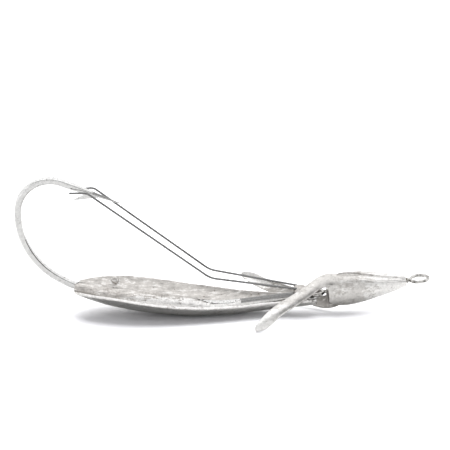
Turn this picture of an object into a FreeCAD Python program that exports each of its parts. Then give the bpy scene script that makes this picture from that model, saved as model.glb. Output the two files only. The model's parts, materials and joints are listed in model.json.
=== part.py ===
import FreeCAD, Part
import math
import os
from FreeCAD import Vector

# A weedless fishing spoon with a propeller head, lying on a flat surface.
# All sizes are in millimetres.  +X points to the line eye at the front, +Z is up, and +Y is
# the lure's left side.  The parts are drawn with the bowl's lowest point near z = 0.  The whole
# lure is then shifted so that it stands on z = 0 with the origin under the middle of it.

# ---- spoon blade -----------------------------------------------------------------------
BLADE_SHEET = 0.8
# Cross sections of the dished blade: (x, half width, rim height, underside height).
BLADE_SECTIONS = [
    (-40.5, 3.3, 7.1, 6.15),
    (-38.0, 5.9, 7.2, 5.0),
    (-33.0, 8.3, 7.2, 3.5),
    (-25.0, 10.2, 6.7, 1.8),
    (-17.0, 10.5, 5.6, 0.6),
    (-6.0, 9.2, 4.5, 0.0),
    (4.5, 6.7, 4.1, 0.4),
    (12.5, 4.6, 4.3, 1.2),
    (19.0, 3.7, 4.4, 1.9),
    (25.5, 2.5, 4.6, 2.6),
]
# Radii, seen from above, that round off the blade's two ends.
TAIL_ROUND = 8.0
NECK_ROUND = 2.6

# Height at which the bowl's underside is worn flat.  The lure stands on this flat.
BLADE_FLAT = 0.06

# Small bump raised on the inside of the left rim: centre and half sizes.
BUMP_CENTRE = (-29.6, 7.9, 6.15)
BUMP_HALF = (1.3, 1.3, 1.6)

# ---- hook --------------------------------------------------------------------------------
HOOK_WIRE = 1.1
HOOK_EYE_CENTRE = (23.9, 5.78)
HOOK_EYE_RADIUS = 1.6
HOOK_EYE_WIRE = 0.68
# Corners of the hook's centre line in the x-z plane, with the radius that rounds each.
HOOK_CORNERS = [
    ((22.3, 5.35), 0.0),
    ((-2.0, 2.05), 40.0),
    ((-40.2, 7.75), 16.0),
    ((-55.4, 16.1), 21.8),
    ((-55.4, 41.9), 8.8),
    ((-40.0, 36.15), 0.0),
]
POINT_TIP = (-27.3, 31.4)
POINT_TIP_RADIUS = 0.08
# The point starts this far back inside the wire, and this much thinner than it.
POINT_ROOT = 0.6
POINT_STEP = 0.04
# Barb: root ahead on the point, free tip behind and below it.
BARB_ROOT_FRONT = (-33.6, 33.3)
BARB_TIP = (-40.6, 32.5)
BARB_ROOT_BACK = (-36.8, 34.4)
BARB_THICKNESS = 0.8

# ---- weed guards ---------------------------------------------------------------------------
GUARD_WIRE = 0.3
# Front end, knee, shoulder and rear end of each guard.  The two are bent by hand, and differ.
GUARD_POINTS = {
    "left_guard_wire": [(21.6, 1.0, 7.3), (-3.6, 2.0, 11.8), (-34.9, 2.3, 35.2), (-40.4, 2.0, 34.9)],
    "right_guard_wire": [(21.6, -1.0, 7.1), (-3.4, -2.0, 10.8), (-36.6, -2.2, 35.2), (-41.4, -1.9, 35.1)],
}
GUARD_KNEE_RADIUS = 6.5
GUARD_SHOULDER_RADIUS = 2.2
GUARD_PIVOT_X = 20.5
GUARD_TRAVEL = 14.0
GUARD_CLEARANCE = 0.07

# ---- head: shaft, beads and propeller --------------------------------------------------------
# The shaft leaves the neck slightly nose up and bent a little to the left.
HEAD_PIVOT = (26.2, 0.0, 6.0)
HEAD_PITCH = 5.5
HEAD_YAW = 7.0
SHAFT_WIRE = 0.5
SHAFT_REAR = 1.0
SHAFT_FRONT = 25.2
REAR_LOOP_CENTRE = -0.65
REAR_LOOP_RADIUS = 1.7
LINE_EYE_CENTRE = 27.45
LINE_EYE_RADIUS = 2.45
WRAP_WIRE = 0.38
WRAP_RADIUS = 0.80
WRAP_PITCH = 1.04
REAR_WRAP = (2.0, 3.65)
BEAD_BORE = 0.56

THRUST_WASHER = (4.12, 4.42, 1.35)
THRUST_BEAD = (4.5, 6.9, 1.5)
BEARING_TUBE = (7.0, 23.85, 0.84)
NOSE_BEAD = (23.92, 24.46, 0.8)

# Cross sections of one propeller half's hood: (u along the shaft, outer radius, sheet
# thickness, angle of the plain edge from the top towards this half's side, share of the
# radius to which the sides are flattened).
HOOD_SECTIONS = [
    (2.1, 4.40, 0.70, 5.0, 0.74),
    (5.0, 4.62, 0.70, 10.0, 0.74),
    (7.6, 4.70, 0.70, 23.0, 0.75),
    (10.8, 4.48, 0.70, 38.0, 0.78),
    (15.3, 3.68, 0.62, 54.0, 0.84),
    (19.9, 2.68, 0.48, 62.0, 0.94),
    (23.8, 1.50, 0.29, 64.0, 1.00),
]
HOOD_CURVE_STEPS = 8
# The hood's rear edge is cut back under the lap: it slopes forward below this height.
REAR_CUT_START = (2.1, -2.3)
REAR_CUT_SLOPE = 1.65
LAP_GAP = 0.05
LAP_START = 152.0
LAP_WALL = 9.0
LAP_END = 190.0
# Cross sections of one wing, from inside the hood's sheet to the tip.  Each is its upper
# edge, its lower edge, as (u, outward to the side, up), and its bulge and sheet thickness.
WING_SECTIONS = [
    ((5.6, 0.60, 4.42), (4.2, 2.76, 2.56), 0.30, 0.58),
    ((1.6, 1.05, 5.45), (0.9, 4.10, 2.85), 0.52, 0.70),
    ((-2.8, 3.75, 4.65), (-1.8, 5.90, 2.35), 0.55, 0.70),
    ((-8.8, 7.00, 2.75), (-7.6, 9.00, 0.55), 0.55, 0.70),
    ((-14.8, 10.00, 0.80), (-13.1, 11.60, -1.40), 0.50, 0.70),
    ((-18.0, 11.50, -1.20), (-16.1, 12.75, -3.10), 0.42, 0.68),
    ((-19.4, 12.20, -2.40), (-18.0, 13.05, -3.67), 0.26, 0.64),
    ((-19.9, 12.65, -3.27), (-19.4, 12.95, -3.75), 0.08, 0.60),
]

# ---- solder ----------------------------------------------------------------------------------
# Sections of the fillet between the hook's shank and the bowl: (x, half width, crown height
# over the shank's centre).
BOWL_SOLDER = [
    (-40.2, 2.0, 1.25),
    (-34.0, 2.6, 1.40),
    (-22.0, 2.8, 1.40),
    (-10.0, 2.5, 1.35),
    (-2.0, 2.2, 1.30),
    (4.9, 1.9, 1.22),
]
NECK_SOLDER = [
    (13.5, 1.3, -0.20),
    (16.5, 1.9, 0.10),
    (20.0, 2.1, 0.20),
    (22.6, 1.6, -0.10),
]
GUARD_SOLDER_CENTRE = (20.9, 0.0, 6.75)
GUARD_SOLDER_HALF = (2.1, 1.95, 1.35)
LINK_SOLDER_CENTRE = (25.0, -0.15, 5.85)
LINK_SOLDER_HALF = (1.5, 1.15, 1.25)
NOSE_SOLDER = (19.9, 1.5, 23.4, 0.93)


def filleted_path(corners):
    """Wire of straight runs, with a tangent arc at each inner corner that has a radius."""
    edges = []
    start = corners[0][0]
    for (before, _), (corner, radius), (after, _) in zip(corners, corners[1:], corners[2:]):
        inward = (corner - before).normalize()
        outward = (after - corner).normalize()
        turn = inward.getAngle(outward)
        reach = radius * math.tan(turn / 2)
        arc_start = corner - inward * reach
        arc_end = corner + outward * reach
        centre_way = (outward - inward).normalize()
        centre = corner + centre_way * (radius / math.cos(turn / 2))
        arc_middle = centre - centre_way * radius
        if (arc_start - start).Length > 1e-4:
            edges.append(Part.LineSegment(start, arc_start).toShape())
        edges.append(Part.Arc(arc_start, arc_middle, arc_end).toShape())
        start = arc_end
    edges.append(Part.LineSegment(start, corners[-1][0]).toShape())
    return Part.Wire(edges)


def round_wire(path, radius):
    """Solid round wire along a path."""
    first = path.Edges[0]
    start = first.valueAt(first.FirstParameter)
    tangent = first.tangentAt(first.FirstParameter)
    profile = Part.Wire([Part.makeCircle(radius, start, tangent)])
    return path.makePipeShell([profile], True, False)


def tapered_rod(start, end, start_radius, end_radius):
    """Solid cone frustum from one point to another."""
    along = end - start
    return Part.makeCone(start_radius, end_radius, along.Length, start, along)


def ellipsoid(centre, half_sizes):
    """Solid ellipsoid with its axes along X, Y and Z."""
    shape = Part.makeSphere(1.0)
    matrix = FreeCAD.Matrix()
    matrix.scale(*half_sizes)
    shape = shape.transformGeometry(matrix)
    shape.translate(Vector(*centre))
    return shape


def blade_circle(half_width, rim_z, under_z):
    """Centre height, radius and half angle of a blade section's outer arc."""
    rise = rim_z - under_z
    radius = (half_width**2 + rise**2) / (2 * rise)
    return under_z + radius, radius, math.asin(half_width / radius)


def blade_section(x, half_width, rim_z, under_z):
    """Closed crescent across the blade at one x."""
    centre_z, radius, half_angle = blade_circle(half_width, rim_z, under_z)

    def point(r, angle):
        return Vector(x, r * math.sin(angle), centre_z - r * math.cos(angle))

    inner = radius - BLADE_SHEET
    outer_arc = Part.Arc(point(radius, -half_angle), point(radius, 0), point(radius, half_angle))
    inner_arc = Part.Arc(point(inner, half_angle), point(inner, 0), point(inner, -half_angle))
    left_rim = Part.LineSegment(point(radius, half_angle), point(inner, half_angle))
    right_rim = Part.LineSegment(point(inner, -half_angle), point(radius, -half_angle))
    return Part.Wire([piece.toShape() for piece in (outer_arc, left_rim, inner_arc, right_rim)])


def end_round(x, radius, way):
    """Upright cylinder that rounds off the blade's end at x.  way points into the blade."""
    return Part.makeCylinder(radius, 30, Vector(x + way * radius, 0, -10))


def spoon_blade():
    blade = Part.makeLoft([blade_section(*section) for section in BLADE_SECTIONS], True, False)
    tail_x = BLADE_SECTIONS[0][0]
    neck_x = BLADE_SECTIONS[-1][0]
    tail_inset = TAIL_ROUND / 3
    neck_inset = NECK_ROUND / 2
    middle = Part.makeBox(
        neck_x - tail_x - tail_inset - neck_inset, 40, 30, Vector(tail_x + tail_inset, -20, -10)
    )
    outline = middle.fuse(end_round(tail_x, TAIL_ROUND, 1)).fuse(end_round(neck_x, NECK_ROUND, -1))
    bump = ellipsoid(BUMP_CENTRE, BUMP_HALF)
    worn = Part.makeBox(40, 20, 10, Vector(-25, -10, BLADE_FLAT - 10))
    return blade.common(outline).fuse(bump).removeSplitter().cut(worn)


def blade_values_at(x):
    """Half width, rim height and underside height of the blade, between its sections."""
    for before, after in zip(BLADE_SECTIONS, BLADE_SECTIONS[1:]):
        if before[0] <= x <= after[0]:
            part = (x - before[0]) / (after[0] - before[0])
            return [low + part * (high - low) for low, high in zip(before[1:], after[1:])]
    raise ValueError("x is off the blade")


def shank_height(x):
    """Height of the shank's centre line over the bowl and the neck."""
    (front, _), (low, _), (tail, _) = HOOK_CORNERS[:3]
    end = front if x > low[0] else tail
    return low[1] + (end[1] - low[1]) * (x - low[0]) / (end[0] - low[0])


def hook():
    """Shank with its eye, bend, point and barb, all of one wire."""
    corners = [(Vector(x, 0, z), radius) for (x, z), radius in HOOK_CORNERS]
    path = filleted_path(corners)
    shape = round_wire(path, HOOK_WIRE)
    tip = Vector(POINT_TIP[0], 0, POINT_TIP[1])
    wire_end = corners[-1][0]
    start = wire_end - (tip - wire_end).normalize() * POINT_ROOT
    shape = shape.fuse(tapered_rod(start, tip, HOOK_WIRE - POINT_STEP, POINT_TIP_RADIUS))
    barb_points = [Vector(x, -BARB_THICKNESS / 2, z)
                   for x, z in (BARB_ROOT_FRONT, BARB_TIP, BARB_ROOT_BACK)]
    barb_face = Part.Face(Part.makePolygon(barb_points + barb_points[:1]))
    shape = shape.fuse(barb_face.extrude(Vector(0, BARB_THICKNESS, 0)))
    eye_x, eye_z = HOOK_EYE_CENTRE
    eye = Part.makeTorus(HOOK_EYE_RADIUS, HOOK_EYE_WIRE, Vector(eye_x, 0, eye_z), Vector(0, 1, 0))
    hole = Part.makeCylinder(
        HOOK_EYE_RADIUS - HOOK_EYE_WIRE, 4, Vector(eye_x, -2, eye_z), Vector(0, 1, 0)
    )
    return shape.cut(hole).fuse(eye).removeSplitter()


def guard_wire(name):
    front, knee, shoulder, end = [Vector(*point) for point in GUARD_POINTS[name]]
    path = filleted_path([
        (front, 0.0),
        (knee, GUARD_KNEE_RADIUS),
        (shoulder, GUARD_SHOULDER_RADIUS),
        (end, 0.0),
    ])
    return round_wire(path, GUARD_WIRE)


def guard_pivot(name):
    """Point on a guard's first run about which the guard bends down."""
    front, knee = [Vector(*point) for point in GUARD_POINTS[name][:2]]
    part = (GUARD_PIVOT_X - front.x) / (knee.x - front.x)
    return front + (knee - front) * part


def guard_slot(name):
    """Space that a guard's front end sweeps through as it bends down."""
    pivot = guard_pivot(name)
    front, knee = [Vector(*point) for point in GUARD_POINTS[name][:2]]
    along = (knee - front).normalize()
    slot = None
    steps = 4
    for step in range(steps + 1):
        rod = Part.makeCylinder(
            GUARD_WIRE + GUARD_CLEARANCE, 8, front - along * GUARD_CLEARANCE, along
        )
        rod.rotate(pivot, Vector(0, -1, 0), GUARD_TRAVEL * step / steps)
        slot = rod if slot is None else slot.fuse(rod)
    return slot


def on_shaft(shape):
    """Move a shape drawn along the X axis from the origin to its place on the shaft."""
    shape.rotate(Vector(0, 0, 0), Vector(0, -1, 0), HEAD_PITCH)
    shape.rotate(Vector(0, 0, 0), Vector(0, 0, 1), HEAD_YAW)
    shape.translate(Vector(*HEAD_PIVOT))
    return shape


def wrap(start, end):
    """Tight turns of the shaft's own wire round the shaft."""
    turn = 2 * WRAP_WIRE * WRAP_PITCH
    helix = Part.makeHelix(turn, end - start, WRAP_RADIUS)
    coil = Part.Wire(helix.Edges)
    profile = Part.Wire([Part.makeCircle(WRAP_WIRE, Vector(WRAP_RADIUS, 0, 0), Vector(0, 1, 0))])
    shape = coil.makePipeShell([profile], True, True)
    shape.rotate(Vector(0, 0, 0), Vector(0, 1, 0), 90)
    shape.translate(Vector(start, 0, 0))
    return shape


def shaft_wire():
    """Straight shaft with its rear loop, the wrap that closes it, and its line eye."""
    along = Vector(1, 0, 0)
    up = Vector(0, 0, 1)
    shape = Part.makeCylinder(SHAFT_WIRE, SHAFT_FRONT - SHAFT_REAR, along * SHAFT_REAR, along)
    shape = shape.fuse(Part.makeTorus(REAR_LOOP_RADIUS, SHAFT_WIRE, along * REAR_LOOP_CENTRE, up))
    shape = shape.fuse(Part.makeTorus(LINE_EYE_RADIUS, SHAFT_WIRE, along * LINE_EYE_CENTRE, up))
    shape = shape.fuse(wrap(*REAR_WRAP))
    return on_shaft(shape)


def ring_on_shaft(start, end, radius):
    """Plain ring that turns on the shaft."""
    along = Vector(1, 0, 0)
    length = end - start
    ring = Part.makeCylinder(radius, length, along * start, along)
    return on_shaft(ring.cut(Part.makeCylinder(BEAD_BORE, length, along * start, along)))


def bead_on_shaft(start, end, radius):
    """Rounded bead that turns on the shaft."""
    along = Vector(1, 0, 0)
    length = end - start
    bead = Part.makeCylinder(radius, length, along * start, along)
    bead = bead.makeFillet(0.42 * min(length, radius), bead.Edges[0:1] + bead.Edges[2:3])
    return on_shaft(bead.cut(Part.makeCylinder(BEAD_BORE, length, along * start, along)))


def polar(u, radius, flat, degrees):
    """Point at an angle from the top towards the right side, round the X axis."""
    angle = math.radians(degrees)
    return Vector(u, -flat * radius * math.sin(angle), radius * math.cos(angle))


def hood_curve(u, radius, flat, start, end):
    """Part of the hood's flattened round section, between two angles."""
    turn = (end - start) / HOOD_CURVE_STEPS
    curve = Part.BSplineCurve()
    curve.interpolate(
        [polar(u, radius, flat, start + turn * step) for step in range(HOOD_CURVE_STEPS + 1)]
    )
    return curve


def hood_section(u, radius, sheet, edge_angle, flat):
    """Closed outline of one hood half: a sheet that steps in to pass under the other half."""
    inner = radius - sheet
    under = inner - LAP_GAP
    under_inner = under - sheet
    wall_angle = edge_angle + LAP_START
    inner_wall_angle = wall_angle - LAP_WALL
    end_angle = edge_angle + LAP_END
    pieces = [
        hood_curve(u, radius, flat, edge_angle, wall_angle),
        Part.LineSegment(polar(u, radius, flat, wall_angle), polar(u, under, flat, wall_angle)),
        hood_curve(u, under, flat, wall_angle, end_angle),
        Part.LineSegment(
            polar(u, under, flat, end_angle), polar(u, under_inner, flat, end_angle)
        ),
        hood_curve(u, under_inner, flat, end_angle, inner_wall_angle),
        Part.LineSegment(
            polar(u, under_inner, flat, inner_wall_angle), polar(u, inner, flat, inner_wall_angle)
        ),
        hood_curve(u, inner, flat, inner_wall_angle, edge_angle),
        Part.LineSegment(
            polar(u, inner, flat, edge_angle), polar(u, radius, flat, edge_angle)
        ),
    ]
    return Part.Wire([piece.toShape() for piece in pieces])


def wing_sections():
    """Closed outlines across the wing, each bulging away from the shaft."""
    edges = [(Vector(a[0], -a[1], a[2]), Vector(b[0], -b[1], b[2]), bulge, sheet)
             for a, b, bulge, sheet in WING_SECTIONS]
    middles = [(upper + lower) * 0.5 for upper, lower, _, _ in edges]
    sections = []
    for index, (upper, lower, bulge, sheet) in enumerate(edges):
        middle = middles[index]
        along = middles[min(index + 1, len(middles) - 1)] - middles[max(index - 1, 0)]
        normal = along.cross(lower - upper).normalize()
        if normal.dot(Vector(0, middle.y, middle.z)) < 0:
            normal = normal * -1
        inward = normal * sheet
        crown = middle + normal * bulge
        outer = Part.Arc(upper, crown, lower)
        inner = Part.Arc(lower - inward, crown - inward, upper - inward)
        lower_end = Part.LineSegment(lower, lower - inward)
        upper_end = Part.LineSegment(upper - inward, upper)
        sections.append(
            Part.Wire([piece.toShape() for piece in (outer, lower_end, inner, upper_end)])
        )
    return sections


def rear_cut():
    """Wedge of space behind the hood's sloping rear edge."""
    start_u, start_up = REAR_CUT_START
    depth = 5.0
    corners = [
        Vector(start_u - 2, -8, start_up),
        Vector(start_u, -8, start_up),
        Vector(start_u + REAR_CUT_SLOPE * depth, -8, start_up - depth),
        Vector(start_u - 2, -8, start_up - depth),
    ]
    return Part.Face(Part.makePolygon(corners + corners[:1])).extrude(Vector(0, 16, 0))


def propeller_half():
    """One hood half with its wing, drawn along the X axis."""
    hood = Part.makeLoft([hood_section(*section) for section in HOOD_SECTIONS], True, False)
    hood = hood.cut(rear_cut())
    wing = Part.makeLoft(wing_sections(), True, False)
    return hood.fuse(wing).removeSplitter()


def solder_fillet(sections, blade, hook_shape):
    """Solder between the blade and the shank, as a low mound with the metal cut out."""
    outlines = []
    for x, half_width, crown in sections:
        blade_half, rim_z, under_z = blade_values_at(x)
        centre_z, radius, _ = blade_circle(blade_half, rim_z, under_z)
        sheet_middle = radius - BLADE_SHEET / 2
        angle = math.asin(half_width / sheet_middle)
        foot_z = centre_z - sheet_middle * math.cos(angle)
        bottom = Vector(x, 0, centre_z - sheet_middle)
        left = Vector(x, half_width, foot_z)
        right = Vector(x, -half_width, foot_z)
        top = Vector(x, 0, shank_height(x) + crown)
        under_arc = Part.Arc(right, bottom, left).toShape()
        over_arc = Part.Arc(left, top, right).toShape()
        outlines.append(Part.Wire([under_arc, over_arc]))
    mound = Part.makeLoft(outlines, True, False)
    return mound.cut(blade).cut(hook_shape)


def build_parts():
    parts = {}
    parts["spoon_blade"] = spoon_blade()
    parts["hook"] = hook()
    parts["bowl_solder"] = solder_fillet(BOWL_SOLDER, parts["spoon_blade"], parts["hook"])
    parts["neck_solder"] = solder_fillet(NECK_SOLDER, parts["spoon_blade"], parts["hook"])
    for name in GUARD_POINTS:
        parts[name] = guard_wire(name)
    parts["shaft_wire"] = shaft_wire()
    parts["thrust_washer"] = ring_on_shaft(*THRUST_WASHER)
    parts["thrust_bead"] = bead_on_shaft(*THRUST_BEAD)
    parts["bearing_tube"] = ring_on_shaft(*BEARING_TUBE)
    parts["nose_bead"] = bead_on_shaft(*NOSE_BEAD)

    half = propeller_half()
    other_half = half.copy()
    other_half.rotate(Vector(0, 0, 0), Vector(1, 0, 0), 180)
    parts["right_propeller_half"] = on_shaft(half)
    parts["left_propeller_half"] = on_shaft(other_half)

    rear, rear_radius, front, front_radius = NOSE_SOLDER
    along = Vector(1, 0, 0)
    plug = Part.makeCone(rear_radius, front_radius, front - rear, along * rear, along)
    bore = Part.makeCylinder(BEARING_TUBE[2], front - rear, along * rear, along)
    parts["nose_solder"] = on_shaft(plug.cut(bore))

    guard_blob = ellipsoid(GUARD_SOLDER_CENTRE, GUARD_SOLDER_HALF).cut(parts["hook"])
    guard_blob = guard_blob.cut(parts["neck_solder"])
    for name in GUARD_POINTS:
        guard_blob = guard_blob.cut(guard_slot(name))
    parts["guard_solder"] = guard_blob

    link_blob = ellipsoid(LINK_SOLDER_CENTRE, LINK_SOLDER_HALF)
    for neighbour in ("hook", "shaft_wire", "guard_solder", "neck_solder", "spoon_blade"):
        link_blob = link_blob.cut(parts[neighbour])
    parts["link_solder"] = link_blob
    return parts


def main():
    parts = build_parts()
    whole = FreeCAD.BoundBox()
    for shape in parts.values():
        whole.add(shape.optimalBoundingBox(False, False))
    to_origin = Vector(-whole.Center.x, -whole.Center.y, -whole.ZMin)
    os.makedirs("parts", exist_ok=True)
    print("shift", to_origin, "size", whole.XLength, whole.YLength, whole.ZLength)
    for name, shape in parts.items():
        shape.translate(to_origin)
        shape.exportStep("parts/" + name + ".step")
        box = shape.optimalBoundingBox(False, False)
        print(
            name, shape.ShapeType, "valid", shape.isValid(), "solids", len(shape.Solids),
            "volume", round(shape.Volume, 2), "z", round(box.ZMin, 2), round(box.ZMax, 2),
        )


if __name__ == "__main__":
    main()
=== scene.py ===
import json
import math

import bpy
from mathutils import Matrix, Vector, noise
from mathutils.bvhtree import BVHTree


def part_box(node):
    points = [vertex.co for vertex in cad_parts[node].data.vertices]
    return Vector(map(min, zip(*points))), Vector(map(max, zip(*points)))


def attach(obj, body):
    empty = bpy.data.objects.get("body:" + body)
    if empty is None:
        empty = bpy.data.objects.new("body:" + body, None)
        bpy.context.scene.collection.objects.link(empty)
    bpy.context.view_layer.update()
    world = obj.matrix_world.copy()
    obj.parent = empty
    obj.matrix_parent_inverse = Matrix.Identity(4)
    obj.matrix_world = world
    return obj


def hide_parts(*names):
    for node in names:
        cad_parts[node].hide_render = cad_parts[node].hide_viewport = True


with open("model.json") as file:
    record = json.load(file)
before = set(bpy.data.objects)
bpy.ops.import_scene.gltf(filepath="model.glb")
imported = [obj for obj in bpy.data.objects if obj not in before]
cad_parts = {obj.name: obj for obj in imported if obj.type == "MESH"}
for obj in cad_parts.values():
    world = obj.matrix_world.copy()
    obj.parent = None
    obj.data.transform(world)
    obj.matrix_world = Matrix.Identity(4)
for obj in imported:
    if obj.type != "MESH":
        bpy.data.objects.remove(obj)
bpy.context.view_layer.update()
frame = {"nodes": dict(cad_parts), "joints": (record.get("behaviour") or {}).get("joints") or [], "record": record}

MM = 0.001

# ---- camera ------------------------------------------------------------------------------
VIEW_ELEVATION = 20.0
VIEW_WIDTH = 121.5 * MM
LENS = 400.0
SENSOR = 36.0
AIM = Vector((0.66, 2.21, 25.3)) * MM

# ---- light -------------------------------------------------------------------------------
# One very wide lamp hangs over the work, a little behind it and to its right.
LAMP_WAY = (0.3, 0.5, 1.0)
LAMP_STRENGTH = 6.6
LAMP_ANGLE = 80.0
FILL = (0.66, 0.66, 0.68)
# The floor sheet is overlit, so that it is white to the eye, and greyer where metal mirrors it,
# above all in front of the work.
FLOOR_WHITE = (0.85, 0.85, 0.868)
FLOOR_MIRRORED = (0.4, 0.399, 0.395)
FLOOR_BEHIND = (0.72, 0.72, 0.715)
FLOOR_TURN = (-20.0 * MM, 50.0 * MM)
OVERHEAD = 1.35
BACK_WALL = 1.12
FRONT_WALL = 0.9
SIDE_WALL = 1.15
OPENING = 0.02
# The opening is a dark strip on the tent's front side, in the plane square to this direction.  It
# reaches OPENING_HALF to each side of that plane, and OPENING_GAIN more on the head's side.
OPENING_NORMAL = (0.31, 0.7, 0.65)
OPENING_HALF = 0.085
OPENING_GAIN = 0.14


# ---- node helpers ------------------------------------------------------------------------
class Nodes:
    """Short ways to add and join shader nodes in one tree."""

    def __init__(self, tree):
        self.tree = tree

    def add(self, kind, **values):
        node = self.tree.nodes.new(kind)
        for name, value in values.items():
            setattr(node, name, value)
        return node

    def link(self, source, target):
        self.tree.links.new(source, target)

    def put(self, socket, value):
        """Sets a socket to a number, a colour or another socket."""
        if isinstance(value, bpy.types.NodeSocket):
            self.link(value, socket)
        else:
            socket.default_value = value

    def math(self, operation, a, b=0.0, clamp=False):
        node = self.add("ShaderNodeMath", operation=operation, use_clamp=clamp)
        self.put(node.inputs[0], a)
        self.put(node.inputs[1], b)
        return node.outputs[0]

    def spread(self, value, low, high, to_low=0.0, to_high=1.0):
        """Takes value from the range low..high to to_low..to_high, smoothly, and stays inside."""
        node = self.add("ShaderNodeMapRange", interpolation_type="SMOOTHSTEP", clamp=True)
        self.put(node.inputs[0], value)
        for place, number in enumerate((low, high, to_low, to_high), start=1):
            node.inputs[place].default_value = number
        return node.outputs[0]

    def mix(self, part, a, b, blend="MIX"):
        node = self.add("ShaderNodeMix", data_type="RGBA", blend_type=blend)
        self.put(node.inputs[0], part)
        self.put(node.inputs[6], a if isinstance(a, bpy.types.NodeSocket) else (*a[:3], 1.0))
        self.put(node.inputs[7], b if isinstance(b, bpy.types.NodeSocket) else (*b[:3], 1.0))
        return node.outputs[2]

    def mapped(self, scale, turn=(0.0, 0.0, 0.0), shift=(0.0, 0.0, 0.0)):
        """Object coordinates in millimetres, times scale, turned by degrees."""
        coordinates = self.add("ShaderNodeTexCoord")
        node = self.add("ShaderNodeMapping")
        node.inputs["Location"].default_value = shift
        node.inputs["Rotation"].default_value = [math.radians(angle) for angle in turn]
        node.inputs["Scale"].default_value = [value / MM for value in scale]
        self.link(coordinates.outputs["Object"], node.inputs["Vector"])
        return node.outputs[0]

    def noise(self, vector, scale=1.0, detail=4.0, rough=0.55, distortion=0.0):
        node = self.add("ShaderNodeTexNoise")
        self.put(node.inputs["Vector"], vector)
        node.inputs["Scale"].default_value = scale
        node.inputs["Detail"].default_value = detail
        node.inputs["Roughness"].default_value = rough
        node.inputs["Distortion"].default_value = distortion
        return node.outputs[0]

    def cells(self, vector, scale=1.0):
        node = self.add("ShaderNodeTexVoronoi")
        self.put(node.inputs["Vector"], vector)
        node.inputs["Scale"].default_value = scale
        node.inputs["Randomness"].default_value = 1.0
        return node.outputs["Distance"]


# ---- metals ------------------------------------------------------------------------------
# What all the metals share: how strongly scratches, raised edges and hollows show, and the
# colours of pits and of the painted shade in crevices between pieces.
SCRATCH_SHARE = 0.5
EDGE_SHARE = 0.5
HOLLOW_SHARE = 0.35
PIT_COLOUR = (0.16, 0.14, 0.12)
CREVICE_SHADE_COLOUR = (0.05, 0.046, 0.042)
BUMP_DEPTH = 0.12 * MM


def scaled(colour, factor):
    """A lighter or darker colour, no brighter than white."""
    return tuple(min(1.0, value * factor) for value in colour)


def scratches(nodes, turn, fine, shift):
    """Mask of thin straight scratches that run along one direction."""
    vector = nodes.mapped((0.12, fine, fine), turn=turn, shift=shift)
    lines = nodes.noise(vector, detail=2.0, rough=0.4)
    return nodes.spread(lines, 0.62, 0.7)


def streak_and_paint_light(nodes, colour, base, painted_light_colour, streak, seed):
    """Light and dark streaks of the given strength, and painted light: a lighter colour where the mesh is marked
    for it.
    """
    streaks = nodes.noise(nodes.mapped((0.32, 1.2, 1.2), shift=(seed, 0.0, 2.0)), 1.0, 6.0, 0.72)
    colour = nodes.mix(nodes.spread(streaks, 0.5, 0.62, 0.0, streak), colour, scaled(base, 1.32))
    colour = nodes.mix(nodes.spread(streaks, 0.46, 0.35, 0.0, streak), colour, scaled(base, 0.6))
    painted_light = nodes.add("ShaderNodeAttribute", attribute_name="painted_light").outputs["Fac"]
    ragged = nodes.math("ADD", painted_light, nodes.spread(streaks, 0.35, 0.65, -0.6, 0.6))
    return nodes.mix(nodes.spread(ragged, 0.3, 0.7, 0.0, 0.9), colour, painted_light_colour)


def shade_upper_side(nodes, colour, tarnish, shaded_corners):
    """Painted shade: darkens the upper side beyond each listed corner (x, z), in millimetres."""
    split = nodes.add("ShaderNodeSeparateXYZ")
    nodes.link(nodes.mapped((1.0, 1.0, 1.0)), split.inputs[0])
    upright = nodes.add("ShaderNodeSeparateXYZ")
    nodes.link(nodes.add("ShaderNodeNewGeometry").outputs["Normal"], upright.inputs[0])
    upper = nodes.spread(upright.outputs[2], 0.05, 0.3, 0.0, 0.85)
    for start_x, start_z in shaded_corners:
        beyond_x = nodes.spread(split.outputs[0], start_x - 0.4, start_x + 0.4)
        beyond_z = nodes.spread(split.outputs[2], start_z - 0.4, start_z + 0.4)
        upper_shade = nodes.math("MULTIPLY", upper, nodes.math("MULTIPLY", beyond_x, beyond_z))
        colour = nodes.mix(upper_shade, colour, scaled(tarnish, 0.35))
    return colour


def wear_edges(nodes, colour, bright, tarnish):
    """Brighter raised edges and darker hollows."""
    pointiness = nodes.add("ShaderNodeNewGeometry").outputs["Pointiness"]
    raised = nodes.math("MULTIPLY", nodes.spread(pointiness, 0.52, 0.62), EDGE_SHARE)
    colour = nodes.mix(raised, colour, scaled(bright, 1.12))
    hollow = nodes.math("MULTIPLY", nodes.spread(pointiness, 0.48, 0.4), HOLLOW_SHARE)
    return nodes.mix(hollow, colour, scaled(tarnish, 0.45))


def paint_crevice_shade(nodes, colour, fine):
    """Painted shade where the mesh is marked as near to the next piece."""
    crevice_shade_mask = nodes.add("ShaderNodeAttribute", attribute_name="crevice_shade").outputs["Fac"]
    crevice_shade_mask = nodes.math("ADD", crevice_shade_mask, nodes.spread(fine, 0.3, 0.7, -0.2, 0.2))
    return nodes.mix(nodes.spread(crevice_shade_mask, 0.3, 0.8, 0.0, 0.95), colour, CREVICE_SHADE_COLOUR)


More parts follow.
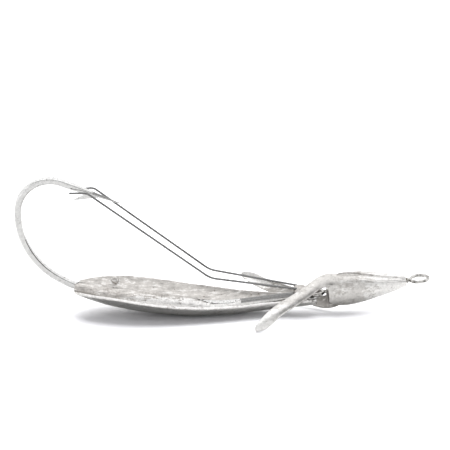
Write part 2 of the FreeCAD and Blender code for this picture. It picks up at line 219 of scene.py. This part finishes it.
def metal(name, bright, tarnish, tarnish_share, roughness, patch, pits, bump, seed,
          inner=None, painted_light_colour=None, streak=0.8, shaded_corners=()):
    """Worn plated metal: tarnish in patches, fine grain, pits, scratches and bright edges.

    inner is the duller colour of a sheet's hollow face.  A piece with painted light on part of it
    gets streaks of the given strength, and the painted light colour is the colour of that part.
    The shaded corners list the places beyond which the metal's upper side takes painted shade.
    """
    material = bpy.data.materials.new(name)
    material.use_nodes = True
    nodes = Nodes(material.node_tree)
    shader = material.node_tree.nodes["Principled BSDF"]
    shader.inputs["Metallic"].default_value = 1.0

    place = nodes.mapped((1.0, 1.0, 1.0), shift=(seed, -seed, 0.5 * seed))
    patches = nodes.noise(place, patch, 6.0, 0.62, 0.4)
    mottle = nodes.noise(place, patch * 5.0, 5.0, 0.65, 0.2)
    fine = nodes.noise(place, 3.2, 4.0, 0.6)
    dirt = nodes.math("ADD", nodes.math("MULTIPLY", patches, 0.62),
                      nodes.math("MULTIPLY", mottle, 0.38))
    share = nodes.spread(dirt, 0.6 - 0.24 * tarnish_share, 0.78 - 0.24 * tarnish_share)
    inside = nodes.add("ShaderNodeAttribute", attribute_name="inside").outputs["Fac"]
    lines = nodes.math("ADD", scratches(nodes, (0.0, 8.0, 24.0), 7.0, (seed, 3.0, 1.0)),
                       scratches(nodes, (20.0, -12.0, -38.0), 9.0, (1.0, seed, 7.0)), clamp=True)
    holes = nodes.spread(nodes.cells(place, 0.62), 0.17, 0.1)
    holes = nodes.math("MULTIPLY", holes, nodes.spread(patches, 0.46, 0.54))

    colour = nodes.mix(share, bright, tarnish)
    if inner:
        colour = nodes.mix(inside, colour, nodes.mix(share, inner, tarnish))
    # Painted light: a lighter colour on the marked part, with streaks.
    if painted_light_colour:
        colour = streak_and_paint_light(nodes, colour, inner or bright, painted_light_colour, streak, seed)
    # Painted shade on the upper side beyond the listed corners.
    if shaded_corners:
        colour = shade_upper_side(nodes, colour, tarnish, shaded_corners)
    speck = nodes.math("MULTIPLY", nodes.spread(fine, 0.3, 0.7, 0.92, 1.07),
                       nodes.spread(mottle, 0.32, 0.68, 1.06, 0.88))
    colour = nodes.mix(1.0, colour, speck, "MULTIPLY")
    colour = nodes.mix(nodes.math("MULTIPLY", holes, pits), colour, PIT_COLOUR)
    colour = wear_edges(nodes, colour, bright, tarnish)
    # Painted shade in crevices between pieces goes on last, over every other mark.
    nodes.link(paint_crevice_shade(nodes, colour, fine), shader.inputs["Base Color"])

    rough = nodes.math("ADD", nodes.math("MULTIPLY", share, 0.16), roughness)
    if inner:
        rough = nodes.math("ADD", rough, nodes.math("MULTIPLY", inside, 0.2))
    rough = nodes.math("ADD", rough, nodes.spread(fine, 0.3, 0.7, -0.04, 0.05))
    rough = nodes.math("ADD", rough, nodes.math("MULTIPLY", lines, 0.1 * SCRATCH_SHARE), clamp=True)
    nodes.link(rough, shader.inputs["Roughness"])

    height = nodes.math("MULTIPLY", mottle, 0.6)
    height = nodes.math("ADD", height, nodes.math("MULTIPLY", fine, 0.22))
    height = nodes.math("SUBTRACT", height, nodes.math("MULTIPLY", lines, 0.12 * SCRATCH_SHARE))
    height = nodes.math("SUBTRACT", height, nodes.math("MULTIPLY", holes, 0.8 * pits))
    bumps = nodes.add("ShaderNodeBump")
    bumps.inputs["Strength"].default_value = bump
    bumps.inputs["Distance"].default_value = BUMP_DEPTH
    nodes.link(height, bumps.inputs["Height"])
    nodes.link(bumps.outputs[0], shader.inputs["Normal"])
    return material


# The blade's last colour is painted light for its lighter side and bump.
def blade_look():
    return metal("blade_nickel", (0.76, 0.745, 0.725), (0.54, 0.51, 0.485), 0.3, 0.14,
                 patch=0.16, pits=0.7, bump=0.5, seed=3.1,
                 inner=(0.56, 0.538, 0.515), painted_light_colour=(0.9, 0.89, 0.88))


# Painted shade darkens the hook's upper side along the shank from the end of the bowl solder on,
# and on the point.
HOOK_SHADED_CORNERS = ((4.9, 0.0), (-35.0, 30.0))


def hook_look():
    return metal("hook_nickel", (0.76, 0.758, 0.752), (0.56, 0.555, 0.55), 0.3, 0.02,
                 patch=0.3, pits=0.6, bump=0.12, seed=11.7, shaded_corners=HOOK_SHADED_CORNERS)


def guard_look():
    return metal("guard_steel", (0.24, 0.24, 0.24), (0.12, 0.118, 0.115), 0.45, 0.1,
                 patch=0.5, pits=0.3, bump=0.1, seed=23.0)


def shaft_look():
    return metal("shaft_nickel", (0.66, 0.65, 0.63), (0.12, 0.11, 0.1), 0.6, 0.07,
                 patch=1.1, pits=0.4, bump=0.15, seed=31.0)


def bead_nickel_look():
    return metal("bead_nickel", (0.6, 0.585, 0.56), (0.1, 0.092, 0.084), 0.6, 0.1,
                 patch=0.9, pits=0.4, bump=0.12, seed=41.0)


def bead_brass_look():
    return metal("bead_brass", (0.34, 0.28, 0.18), (0.09, 0.074, 0.055), 0.7, 0.24,
                 patch=0.6, pits=0.4, bump=0.15, seed=43.0)


# The propeller's last colour is painted light for its nose and wing tips.
def propeller_look():
    return metal("propeller_nickel", (0.7, 0.682, 0.66), (0.54, 0.516, 0.49), 0.5, 0.32,
                 patch=0.22, pits=0.35, bump=0.3, seed=57.0,
                 inner=(0.44, 0.424, 0.405), painted_light_colour=(0.94, 0.93, 0.915), streak=0.3)


# The solder's last colour is painted light where it is marked.
def solder_look():
    return metal("solder", (0.6, 0.575, 0.55), (0.46, 0.43, 0.405), 0.6, 0.34,
                 patch=0.35, pits=0.9, bump=0.6, seed=71.0, painted_light_colour=(0.9, 0.89, 0.88))


LOOKS = {
    "blade_nickel": blade_look,
    "hook_nickel": hook_look,
    "guard_steel": guard_look,
    "shaft_nickel": shaft_look,
    "bead_nickel": bead_nickel_look,
    "bead_brass": bead_brass_look,
    "propeller_nickel": propeller_look,
    "solder": solder_look,
}


def slots_of_nodes():
    """Slot name of each CAD node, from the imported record."""
    return {entry["node"]: entry["material_slot"] for entry in frame["record"]["subparts"]}


def dress(thing, material):
    thing.data.materials.clear()
    thing.data.materials.append(material)
    for polygon in thing.data.polygons:
        polygon.use_smooth = True


# ---- worked surfaces -----------------------------------------------------------------------
# A worked piece is a close copy of its CAD node, remeshed finely, dented and given fine relief.
# The guard solder isn't one of them, because the guards move in its narrow slots.
# Values in millimetres: voxel, height and wavelength of the dents, and the same of the relief.
WORKED = {
    "spoon_blade": (0.2, 0.12, 7.0, 0.035, 1.5),
    "bowl_solder": (0.16, 0.22, 4.0, 0.09, 1.1),
    "neck_solder": (0.14, 0.14, 2.5, 0.06, 0.9),
    "link_solder": (0.1, 0.1, 1.6, 0.04, 0.6),
    "nose_solder": (0.12, 0.04, 1.5, 0.02, 0.6),
    "right_propeller_half": (0.16, 0.1, 6.0, 0.025, 1.3),
    "left_propeller_half": (0.16, 0.1, 6.0, 0.025, 1.3),
}
SHEETS = ("spoon_blade", "right_propeller_half", "left_propeller_half")
# Painted shade reaches this far from the next piece, in millimetres.
CREVICE_REACH = 0.28
# Two nodes take painted light on their right side and around the blade's bump.  The lighter side
# starts this far off the blade's middle line, in millimetres, and the start shifts along X.
PAINTED_LIGHT_NODES = ("spoon_blade", "bowl_solder")
BUMP_PLACE = Vector((-29.48, 10.1, 6.1)) * MM
BUMP_REACH = 1.9
BLADE_MIDDLE_Y = 2.21 * MM
LIGHT_START = -0.6
LIGHT_TAPER = 0.15
LIGHT_BLEND = 2.0
# The propeller takes painted light at its nose, from this far along the shaft past its joint, and
# on its wings, from this far off the shaft, in millimetres.
NOSE_START = 0.5
NOSE_BLEND = 6.0
TIP_START = 8.0
TIP_BLEND = 4.0


def fine_copy(node, voxel):
    """Evenly meshed copy of a CAD node's surface."""
    source = node.data.copy()
    weld = bpy.data.objects.new("weld", source)
    bpy.context.scene.collection.objects.link(weld)
    merge = weld.modifiers.new("merge", "WELD")
    merge.merge_threshold = 0.001 * MM
    remesh = weld.modifiers.new("remesh", "REMESH")
    remesh.mode = "VOXEL"
    remesh.voxel_size = voxel * MM
    smooth = weld.modifiers.new("smooth", "SMOOTH")
    smooth.factor = 0.5
    smooth.iterations = 2
    graph = bpy.context.evaluated_depsgraph_get()
    mesh = bpy.data.meshes.new_from_object(weld.evaluated_get(graph))
    bpy.data.objects.remove(weld)
    bpy.data.meshes.remove(source)
    return mesh


def relief(point, height, wavelength, seed):
    """Smooth noise of the given height at a point, both in millimetres."""
    place = point / (wavelength * MM) + Vector((seed, 2.0 * seed, -seed))
    return height * MM * noise.noise(place)


def work_over(mesh, values, is_sheet, seed):
    """Dents and fine relief.  Both faces of a sheet take the same dents."""
    _, dent, dent_wave, fine, fine_wave = values
    moves = []
    for vertex in mesh.vertices:
        point = vertex.co
        normal = vertex.normal
        if is_sheet:
            along_z = relief(point, dent, dent_wave, seed)
            along_y = relief(point, 0.6 * dent, dent_wave, seed + 9.0)
            move = Vector((0.0, along_y, along_z))
        else:
            move = normal * relief(point, dent, dent_wave, seed)
        moves.append(move + normal * relief(point, fine, fine_wave, seed + 4.0))
    for vertex, move in zip(mesh.vertices, moves):
        vertex.co += move
    mesh.update()


def keep_inside(mesh, low, high):
    """Holds every vertex inside a box."""
    for vertex in mesh.vertices:
        vertex.co = [min(max(value, bottom), top)
                     for value, bottom, top in zip(vertex.co, low, high)]


def surface_tree(mesh):
    return BVHTree.FromPolygons([vertex.co for vertex in mesh.vertices],
                                [polygon.vertices for polygon in mesh.polygons])


def store(mesh, name, marks):
    """Keeps one number per vertex under a name that a material can read."""
    attribute = mesh.attributes.new(name, "FLOAT", "POINT")
    attribute.data.foreach_set("value", marks)


def mark_crevices(shapes):
    """Stores on each fine mesh how near every vertex is to the next piece, from 0 to 1, for the painted shade in
    crevices.
    """
    trees = {name: surface_tree(thing.data) for name, thing in shapes.items()}
    for name in WORKED:
        mesh = shapes[name].data
        others = [tree for other, tree in trees.items() if other != name]
        marks = []
        for vertex in mesh.vertices:
            reach = CREVICE_REACH * MM
            nearest = reach
            for tree in others:
                distance = tree.find_nearest(vertex.co, nearest)[3]
                if distance is not None:
                    nearest = min(nearest, distance)
            marks.append(1.0 - nearest / reach)
        store(mesh, "crevice_shade", marks)


def mark_inside(name, mesh, axis_point, axis):
    """Stores which faces of a sheet look inwards: up in the bowl, towards the shaft in the head."""
    marks = []
    for vertex in mesh.vertices:
        if name == "spoon_blade":
            facing = vertex.normal.z
        else:
            out = vertex.co - axis_point
            out -= axis * out.dot(axis)
            facing = -vertex.normal.dot(out.normalized())
            facing -= max((out.length / MM - TIP_START) / TIP_BLEND, 0.0)
        marks.append(min(max(0.5 + 2.5 * facing, 0.0), 1.0))
    store(mesh, "inside", marks)


def bowl_painted_light(point):
    """How much painted light the bowl takes at a point: its right side and its bump take it."""
    across = (BLADE_MIDDLE_Y - point.y) / MM
    start = LIGHT_START - LIGHT_TAPER * point.x / MM
    on_bump = BUMP_REACH - (point - BUMP_PLACE).length / MM
    return max((across - start) / LIGHT_BLEND + 0.5, on_bump)


def propeller_painted_light(point, axis_point, axis):
    """How much painted light the propeller takes at a point: its nose and the tips of its wings take it."""
    out = point - axis_point
    along = out.dot(axis)
    off = (out - axis * along).length
    return max((along / MM - NOSE_START) / NOSE_BLEND, (off / MM - TIP_START) / TIP_BLEND)


def mark_painted_light(name, mesh, axis_point, axis):
    """Stores how much painted light each vertex takes, from 0 to 1."""
    marks = []
    for vertex in mesh.vertices:
        if name in PAINTED_LIGHT_NODES:
            mark = bowl_painted_light(vertex.co)
        else:
            mark = propeller_painted_light(vertex.co, axis_point, axis)
        marks.append(min(max(mark, 0.0), 1.0))
    store(mesh, "painted_light", marks)


def shaft_line():
    """A point on the shaft and its direction, from the propeller's joint."""
    joint = next(joint for joint in frame["joints"] if joint["name"] == "propeller_spin")
    return Vector(joint["pos_m"]), Vector(joint["axis"]).normalized()


def make_worked():
    """Replaces the sheet and solder nodes by worked copies, and returns all shown shapes."""
    shapes = dict(frame["nodes"])
    bodies = frame["record"]["behaviour"]["bodies"]
    body_of = {node: body for body, members in bodies.items() for node in members}
    axis_point, axis = shaft_line()
    for seed, (name, values) in enumerate(WORKED.items(), start=1):
        mesh = fine_copy(frame["nodes"][name], values[0])
        work_over(mesh, values, name in SHEETS, 3.7 * seed)
        low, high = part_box(name)
        keep_inside(mesh, low, high)
        if name in SHEETS:
            mark_inside(name, mesh, axis_point, axis)
        if name in SHEETS or name in PAINTED_LIGHT_NODES:
            mark_painted_light(name, mesh, axis_point, axis)
        piece = bpy.data.objects.new(name + "_worked", mesh)
        bpy.context.scene.collection.objects.link(piece)
        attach(piece, body_of[name])
        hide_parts(name)
        shapes[name] = piece
    mark_crevices(shapes)
    return shapes


def make_floor():
    reach = 3.0
    mesh = bpy.data.meshes.new("floor")
    corners = [(-reach, -reach, 0), (reach, -reach, 0), (reach, reach, 0), (-reach, reach, 0)]
    mesh.from_pydata(corners, [], [(0, 1, 2, 3)])
    floor = bpy.data.objects.new("floor", mesh)
    bpy.context.scene.collection.objects.link(floor)
    material = bpy.data.materials.new("floor_white")
    material.use_nodes = True
    shader = material.node_tree.nodes["Principled BSDF"]
    nodes = Nodes(material.node_tree)
    split = nodes.add("ShaderNodeSeparateXYZ")
    nodes.link(nodes.add("ShaderNodeTexCoord").outputs["Object"], split.inputs[0])
    image = nodes.mix(nodes.spread(split.outputs[1], *FLOOR_TURN), FLOOR_MIRRORED, FLOOR_BEHIND)
    mirrored = nodes.add("ShaderNodeLightPath").outputs["Is Glossy Ray"]
    nodes.link(nodes.mix(mirrored, FLOOR_WHITE, image), shader.inputs["Base Color"])
    shader.inputs["Roughness"].default_value = 0.55
    shader.inputs["Specular IOR Level"].default_value = 0.25
    mesh.materials.append(material)


def grey(value):
    return (value, value, value)


def make_world():
    """White light tent, brightest overhead, with a dark strip on its front side.

    The tent shows in the metal only.  The floor takes an even fill, and the backdrop is white.
    """
    world = bpy.data.worlds.new("tent")
    bpy.context.scene.world = world
    world.use_nodes = True
    nodes = Nodes(world.node_tree)
    direction = nodes.add("ShaderNodeTexCoord").outputs["Generated"]
    split = nodes.add("ShaderNodeSeparateXYZ")
    nodes.link(direction, split.inputs[0])
    x, y, z = split.outputs
    front = nodes.spread(y, 0.1, -0.3)
    tone = nodes.mix(front, grey(BACK_WALL), grey(FRONT_WALL))
    sides = nodes.spread(nodes.math("ABSOLUTE", x), 0.45, 0.8)
    tone = nodes.mix(sides, tone, grey(SIDE_WALL))
    tone = nodes.mix(nodes.spread(z, 0.66, 0.86), tone, grey(OVERHEAD))
    across = nodes.add("ShaderNodeVectorMath", operation="DOT_PRODUCT")
    nodes.link(direction, across.inputs[0])
    across.inputs[1].default_value = OPENING_NORMAL
    offset = nodes.math("ABSOLUTE", across.outputs["Value"])
    offset = nodes.math("SUBTRACT", offset, nodes.spread(x, 0.42, 0.68, 0.0, OPENING_GAIN))
    strip = nodes.spread(offset, OPENING_HALF, 0.6 * OPENING_HALF)
    strip = nodes.math("MULTIPLY", strip, nodes.spread(y, -0.2, -0.4))
    tone = nodes.mix(strip, tone, grey(OPENING))
    path = nodes.add("ShaderNodeLightPath")
    tone = nodes.mix(path.outputs["Is Diffuse Ray"], tone, FILL)
    tone = nodes.mix(path.outputs["Is Camera Ray"], tone, grey(1.0))
    background = world.node_tree.nodes["Background"]
    nodes.link(tone, background.inputs["Color"])
    background.inputs["Strength"].default_value = 1.0


def make_lights():
    lamp = bpy.data.lights.new("overhead", "SUN")
    lamp.energy = LAMP_STRENGTH
    lamp.angle = math.radians(LAMP_ANGLE)
    light = bpy.data.objects.new("overhead", lamp)
    light.rotation_mode = "QUATERNION"
    light.rotation_quaternion = Vector(LAMP_WAY).to_track_quat("Z", "Y")
    light.visible_glossy = False
    bpy.context.scene.collection.objects.link(light)


def make_camera():
    data = bpy.data.cameras.new("camera")
    data.lens = LENS
    data.sensor_width = SENSOR
    camera = bpy.data.objects.new("camera", data)
    bpy.context.scene.collection.objects.link(camera)
    rise = math.radians(VIEW_ELEVATION)
    back = Vector((0.0, -math.cos(rise), math.sin(rise)))
    distance = VIEW_WIDTH * LENS / SENSOR
    camera.location = AIM + back * distance
    camera.rotation_mode = "QUATERNION"
    camera.rotation_quaternion = (-back).to_track_quat("-Z", "Y")
    data.clip_start = 0.1 * distance
    data.clip_end = 10.0 * distance
    bpy.context.scene.camera = camera


def main():
    bpy.context.scene.view_settings.view_transform = "Standard"
    make_camera()
    make_world()
    make_lights()
    make_floor()
    materials = {slot: look() for slot, look in LOOKS.items()}
    slots = slots_of_nodes()
    for name, shape in make_worked().items():
        dress(shape, materials[slots[name]])


main()
